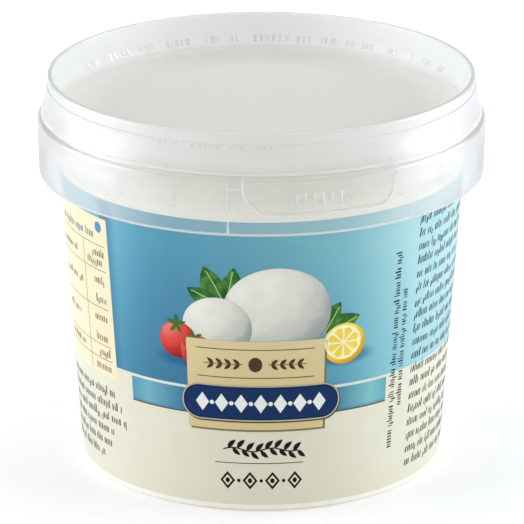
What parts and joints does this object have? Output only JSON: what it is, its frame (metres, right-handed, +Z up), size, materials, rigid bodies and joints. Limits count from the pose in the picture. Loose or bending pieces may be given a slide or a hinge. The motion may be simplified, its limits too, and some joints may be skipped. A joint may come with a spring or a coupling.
{
  "type": "lidded plastic food tub",
  "caption": "Shut round food tub with tapering printed wall and a clear press-on lid: recessed top panel, stacking ring, deep skirt with pull tab.",
  "frame": {"origin": "centre of the base, on the surface that the tub stands on", "axes": "+Z up along the tub's axis; -Y is the front, where the label's picture is and the pull tab starts"},
  "size_m": [0.0974, 0.0975, 0.087],
  "materials": {
    "tub": "moulded white polypropylene, satin gloss",
    "label": "printed in-mould film, satin: blue upper field over a white lower field",
    "lid": "natural translucent polypropylene, smooth moulded, milky"
  },
  "bodies": {
    "root": {"tub": "tub", "label": "label", "lid": "lid"}
  },
  "joints": []
}
